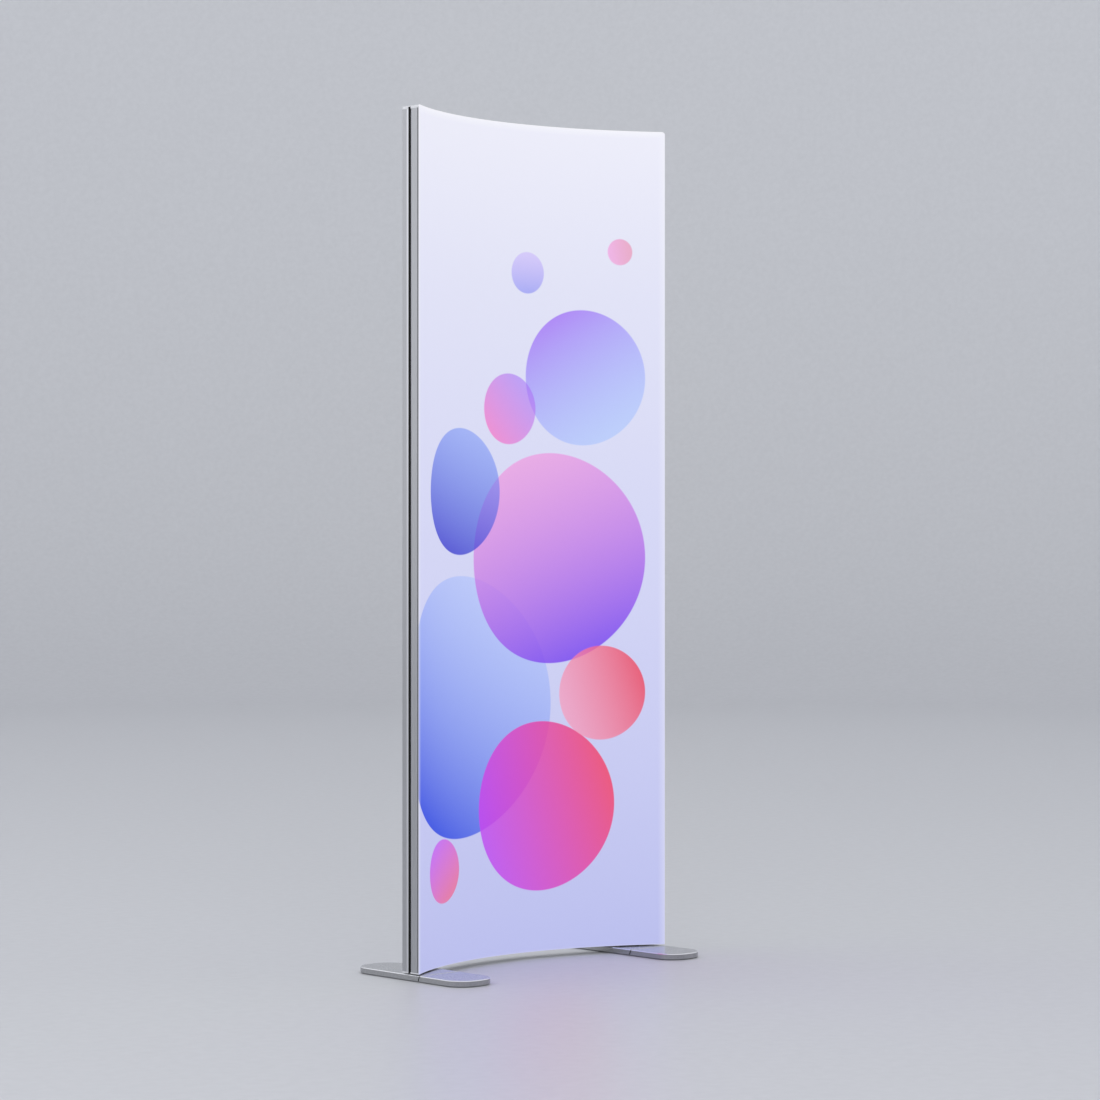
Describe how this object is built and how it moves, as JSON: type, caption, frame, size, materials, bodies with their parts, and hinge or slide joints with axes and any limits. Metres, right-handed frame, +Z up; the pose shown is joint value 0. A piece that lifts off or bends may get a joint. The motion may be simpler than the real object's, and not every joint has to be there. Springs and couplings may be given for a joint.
{
  "type": "fabric light box display",
  "caption": "Free-standing back-lit fabric display: tall aluminium frame curved in plan, stretched print on both faces, flat swivelling feet and a switched mains inlet.",
  "frame": {"origin": "on the floor, midway between the two end faces and midway along the feet", "axes": "+X to the right seen from the front, +Y to the back, +Z up; the hollow, printed face looks along -Y"},
  "size_m": [0.8028, 0.385, 2.018],
  "materials": {
    "frame_aluminium": "satin silver anodised extrusion",
    "cap_plastic": "moulded, silver grey",
    "seal_rubber": "extruded, matt black",
    "bracket_steel": "zinc plated",
    "brace_aluminium": "mill finish",
    "front_print": "back-lit printed knit",
    "rear_print": "plain back-lit knit",
    "bead_silicone": "translucent silicone",
    "board_white": "white solder mask",
    "lens_acrylic": "clear moulded acrylic",
    "terminal_plastic": "moulded",
    "supply_case": "folded sheet, light grey paint",
    "wire_pvc": "PVC sheath",
    "inlet_plastic": "moulded black",
    "pin_brass": "nickel flashed",
    "rocker_plastic": "moulded black",
    "foot_metal": "satin silver powder coat on steel plate",
    "pad_rubber": "moulded",
    "washer_nylon": "black nylon",
    "fastener_steel": "zinc plated"
  },
  "bodies": {
    "frame": {"bottom_left_bracket": "bracket_steel", "bottom_left_cap": "cap_plastic", "bottom_lenses": "lens_acrylic", "bottom_light_board_1": "board_white", "bottom_light_board_2": "board_white", "bottom_light_board_3": "board_white", "bottom_light_board_4": "board_white", "bottom_rail": "frame_aluminium", "bottom_right_bracket": "bracket_steel", "bottom_right_cap": "cap_plastic", "bottom_terminal": "terminal_plastic", "bracket_screws": "fastener_steel", "cross_brace": "brace_aluminium", "front_bead": "bead_silicone", "front_fabric": "front_print", "inlet_pins": "pin_brass", "left_brace_shoe": "bracket_steel", "left_groove_seal": "seal_rubber", "left_pivot_bolt": "fastener_steel", "left_pivot_nut": "fastener_steel", "left_pivot_washer": "washer_nylon", "left_post": "frame_aluminium", "mains_inlet": "inlet_plastic", "mains_wire": "wire_pvc", "power_supply": "supply_case", "rear_bead": "bead_silicone", "rear_fabric": "rear_print", "right_brace_shoe": "bracket_steel", "right_groove_seal": "seal_rubber", "right_pivot_bolt": "fastener_steel", "right_pivot_nut": "fastener_steel", "right_pivot_washer": "washer_nylon", "right_post": "frame_aluminium", "riser_wire": "wire_pvc", "supply_plate": "bracket_steel", "supply_screws": "fastener_steel", "tail_wire": "wire_pvc", "top_groove_seal": "seal_rubber", "top_left_bracket": "bracket_steel", "top_left_cap": "cap_plastic", "top_lenses": "lens_acrylic", "top_light_board_1": "board_white", "top_light_board_2": "board_white", "top_light_board_3": "board_white", "top_light_board_4": "board_white", "top_rail": "frame_aluminium", "top_right_bracket": "bracket_steel", "top_right_cap": "cap_plastic", "top_terminal": "terminal_plastic"},
    "left_foot": {"left_foot_plate": "foot_metal", "left_toe_plate": "foot_metal", "left_splice_plate": "fastener_steel", "left_splice_screws": "fastener_steel", "left_foot_pads": "pad_rubber"},
    "right_foot": {"right_foot_plate": "foot_metal", "right_toe_plate": "foot_metal", "right_splice_plate": "fastener_steel", "right_splice_screws": "fastener_steel", "right_foot_pads": "pad_rubber"},
    "rocker": {"power_rocker": "rocker_plastic"}
  },
  "joints": [
    {"name": "left_foot_swivel", "type": "hinge", "parent": "frame", "child": "left_foot", "pos_m": [-0.341, 0.01488, 0.015], "axis": [0, 0, 1], "range_deg": [0, 90]},
    {"name": "right_foot_swivel", "type": "hinge", "parent": "frame", "child": "right_foot", "pos_m": [0.341, 0.01488, 0.015], "axis": [0, 0, -1], "range_deg": [0, 90]},
    {"name": "rocker_tilt", "type": "hinge", "parent": "frame", "child": "rocker", "pos_m": [0.3979, -0.01482, 0.2405], "axis": [0, 0, 1], "range_deg": [-16, 0]}
  ]
}
